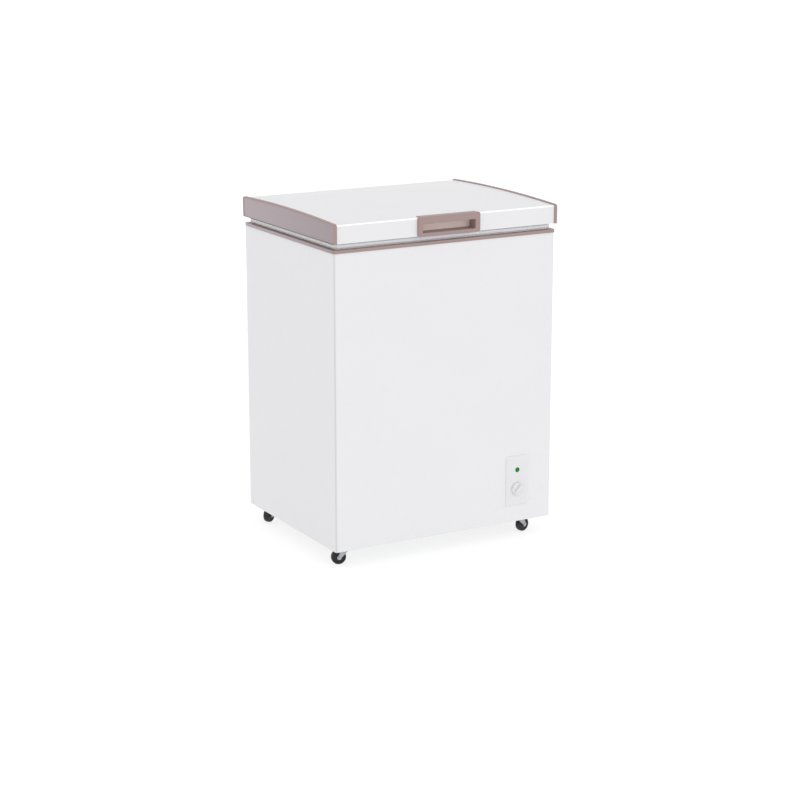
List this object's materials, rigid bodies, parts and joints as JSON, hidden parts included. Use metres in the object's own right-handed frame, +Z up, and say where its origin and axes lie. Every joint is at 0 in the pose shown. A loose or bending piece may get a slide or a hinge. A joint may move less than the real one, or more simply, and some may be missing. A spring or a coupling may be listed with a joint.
{
  "type": "chest freezer",
  "caption": "White chest freezer with a hinged arched lid, recessed handle, front thermostat knob, sliding wire basket, and swivel casters.",
  "frame": {"origin": "on the floor, under the middle of the cabinet", "axes": "+Z up, the front with the handle and the control panel faces -Y, +X to the right seen from the front"},
  "size_m": [0.621, 0.496, 0.85],
  "materials": {
    "white_steel": "white powder coat, satin",
    "white_liner": "white stucco-embossed sheet",
    "zinc_sheet": "zinc-plated sheet",
    "foam": "rigid polyurethane foam",
    "mauve_plastic": "satin mauve moulding",
    "white_plastic": "white moulding",
    "grey_rubber": "soft grey seal",
    "copper": "drawn copper tube",
    "aluminium_tube": "drawn aluminium tube",
    "black_steel": "black paint",
    "black_rubber": "black rubber",
    "black_plastic": "black moulding",
    "grey_plastic": "grey moulding",
    "zinc_fasteners": "zinc plate",
    "hinge_steel": "zinc-plated pressed steel",
    "green_lens": "translucent green lens",
    "coated_wire": "white coated wire"
  },
  "bodies": {
    "cabinet": {"outer_shell": "white_steel", "back_panel": "white_steel", "base_plate": "zinc_sheet", "compartment_panel": "zinc_sheet", "cabinet_foam": "foam", "wall_foam": "foam", "inner_liner": "white_liner", "rim_collar": "mauve_plastic", "condenser_tube": "copper", "evaporator_tube": "aluminium_tube", "compressor": "black_steel", "compressor_base": "zinc_sheet", "compressor_grommets": "black_rubber", "compressor_bolts": "zinc_fasteners", "start_relay": "black_plastic", "filter_drier": "copper", "capillary_tube": "copper", "suction_line": "copper", "discharge_line": "copper", "wiring_harness": "black_rubber", "cord_gland": "black_rubber", "rear_grille": "black_plastic", "back_screws": "zinc_fasteners", "control_bezel": "white_plastic", "thermostat_body": "grey_plastic", "thermostat_sensor": "copper", "lamp_holder": "black_plastic", "lamp_lens": "green_lens", "drain_tube": "white_plastic", "hinge_cabinet_leaves": "hinge_steel", "hinge_pins": "zinc_fasteners", "hinge_springs": "zinc_fasteners", "caster_plates": "hinge_steel", "caster_kingpins": "zinc_fasteners", "caster_screws": "zinc_fasteners"},
    "lid": {"lid_skin": "white_steel", "lid_foam": "foam", "lid_inner_panel": "white_plastic", "lid_gasket": "grey_rubber", "lid_cap_left": "mauve_plastic", "lid_cap_right": "mauve_plastic", "lid_handle": "mauve_plastic", "lid_screws": "zinc_fasteners", "hinge_lid_leaves": "hinge_steel"},
    "knob": {"thermostat_knob": "white_plastic", "thermostat_spindle": "zinc_fasteners"},
    "plug": {"drain_plug": "grey_rubber"},
    "basket": {"wire_basket": "coated_wire"},
    "swivel_fl": {"caster_fork_fl": "hinge_steel", "caster_axle_fl": "zinc_fasteners"},
    "wheel_fl": {"caster_wheel_fl": "black_plastic"},
    "swivel_fr": {"caster_fork_fr": "hinge_steel", "caster_axle_fr": "zinc_fasteners"},
    "wheel_fr": {"caster_wheel_fr": "black_plastic"},
    "swivel_rl": {"caster_fork_rl": "hinge_steel", "caster_axle_rl": "zinc_fasteners"},
    "wheel_rl": {"caster_wheel_rl": "black_plastic"},
    "swivel_rr": {"caster_fork_rr": "hinge_steel", "caster_axle_rr": "zinc_fasteners"},
    "wheel_rr": {"caster_wheel_rr": "black_plastic"}
  },
  "joints": [
    {"name": "lid_hinge", "type": "hinge", "parent": "cabinet", "child": "lid", "pos_m": [0, 0.2415, 0.79], "axis": [-1, 0, 0], "range_deg": [0, 85], "deforming": ["hinge_springs"]},
    {"name": "thermostat_turn", "type": "hinge", "parent": "cabinet", "child": "knob", "pos_m": [0.2075, -0.2385, 0.129], "axis": [0, -1, 0], "range_deg": [-270, 0]},
    {"name": "basket_slide", "type": "slide", "parent": "cabinet", "child": "basket", "axis": [1, 0, 0], "range_m": [-0.269, 0]},
    {"name": "plug_pull", "type": "slide", "parent": "cabinet", "child": "plug", "axis": [0, 0, 1], "range_m": [0, 0.03]},
    {"name": "swivel_turn_fl", "type": "hinge", "parent": "cabinet", "child": "swivel_fl", "pos_m": [-0.2575, -0.203, 0.04], "axis": [0, 0, 1], "continuous": true},
    {"name": "wheel_spin_fl", "type": "hinge", "parent": "swivel_fl", "child": "wheel_fl", "pos_m": [-0.28068, -0.19679, 0.0185], "axis": [-0.2588, -0.9659, 0], "continuous": true},
    {"name": "swivel_turn_fr", "type": "hinge", "parent": "cabinet", "child": "swivel_fr", "pos_m": [0.2275, -0.203, 0.04], "axis": [0, 0, 1], "continuous": true},
    {"name": "wheel_spin_fr", "type": "hinge", "parent": "swivel_fr", "child": "wheel_fr", "pos_m": [0.25079, -0.19719, 0.0185], "axis": [-0.2419, 0.9703, 0], "continuous": true},
    {"name": "swivel_turn_rl", "type": "hinge", "parent": "cabinet", "child": "swivel_rl", "pos_m": [-0.2575, 0.203, 0.04], "axis": [0, 0, 1], "continuous": true},
    {"name": "wheel_spin_rl", "type": "hinge", "parent": "swivel_rl", "child": "wheel_rl", "pos_m": [-0.27785, 0.19028, 0.0185], "axis": [0.5299, -0.848, 0], "continuous": true},
    {"name": "swivel_turn_rr", "type": "hinge", "parent": "cabinet", "child": "swivel_rr", "pos_m": [0.2275, 0.203, 0.04], "axis": [0, 0, 1], "continuous": true},
    {"name": "wheel_spin_rr", "type": "hinge", "parent": "swivel_rr", "child": "wheel_rr", "pos_m": [0.24828, 0.191, 0.0185], "axis": [0.5, 0.866, 0], "continuous": true}
  ]
}
